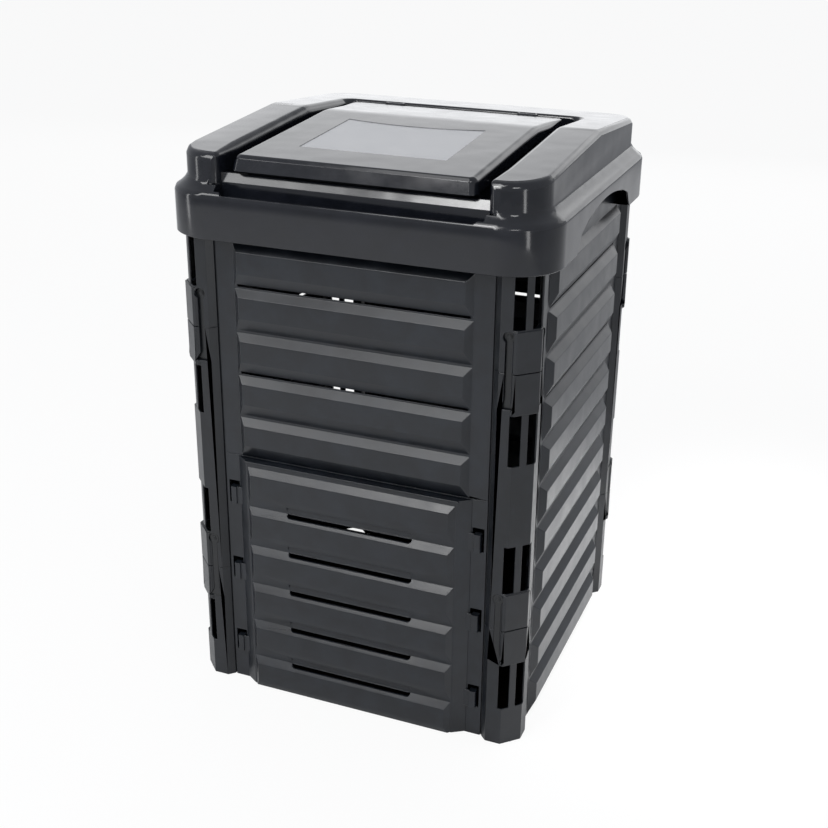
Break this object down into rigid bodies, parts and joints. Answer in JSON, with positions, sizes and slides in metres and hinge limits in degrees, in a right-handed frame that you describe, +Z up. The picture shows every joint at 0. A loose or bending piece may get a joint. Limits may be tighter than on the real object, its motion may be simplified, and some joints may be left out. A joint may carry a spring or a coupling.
{
  "type": "compost bin with lid",
  "caption": "Square upright garden compost bin with louvred walls, slotted corner posts, lift-off front hatch and a hood with a hinged filling flap.",
  "frame": {"origin": "middle of the square ground outline, at ground level", "axes": "+Z up, -Y towards the hatch side, +X to the right of someone who faces the hatch"},
  "size_m": [0.64, 0.64, 0.9705],
  "materials": {
    "wall_plastic": "satin moulded, charcoal black",
    "post_plastic": "satin moulded, charcoal black",
    "key_plastic": "satin moulded, charcoal black",
    "hood_plastic": "semi-gloss moulded, charcoal black",
    "pin_plastic": "smooth, black"
  },
  "bodies": {
    "bin": {"front_wall_upper": "wall_plastic", "right_wall_lower": "wall_plastic", "right_wall_upper": "wall_plastic", "back_wall_lower": "wall_plastic", "back_wall_upper": "wall_plastic", "left_wall_lower": "wall_plastic", "left_wall_upper": "wall_plastic", "front_hatch_frame": "wall_plastic", "front_right_post_foot": "post_plastic", "front_right_post_middle": "post_plastic", "front_right_post_top": "post_plastic", "back_right_post_foot": "post_plastic", "back_right_post_middle": "post_plastic", "back_right_post_top": "post_plastic", "back_left_post_foot": "post_plastic", "back_left_post_middle": "post_plastic", "back_left_post_top": "post_plastic", "front_left_post_foot": "post_plastic", "front_left_post_middle": "post_plastic", "front_left_post_top": "post_plastic", "front_right_lock_keys": "key_plastic", "back_right_lock_keys": "key_plastic", "back_left_lock_keys": "key_plastic", "front_left_lock_keys": "key_plastic"},
    "hood": {"hood": "hood_plastic", "left_hinge_pin": "pin_plastic", "right_hinge_pin": "pin_plastic"},
    "flap": {"filling_flap": "hood_plastic"},
    "hatch": {"hatch_door": "wall_plastic"}
  },
  "joints": [
    {"name": "hood_lift", "type": "slide", "parent": "bin", "child": "hood", "axis": [0, 0, 1], "range_m": [0, 0.3]},
    {"name": "flap_hinge", "type": "hinge", "parent": "hood", "child": "flap", "pos_m": [0, 0.181, 0.9525], "axis": [-1, 0, 0], "range_deg": [0, 105]},
    {"name": "hatch_lift", "type": "slide", "parent": "bin", "child": "hatch", "axis": [0, 0, 1], "range_m": [0, 0.009]}
  ]
}
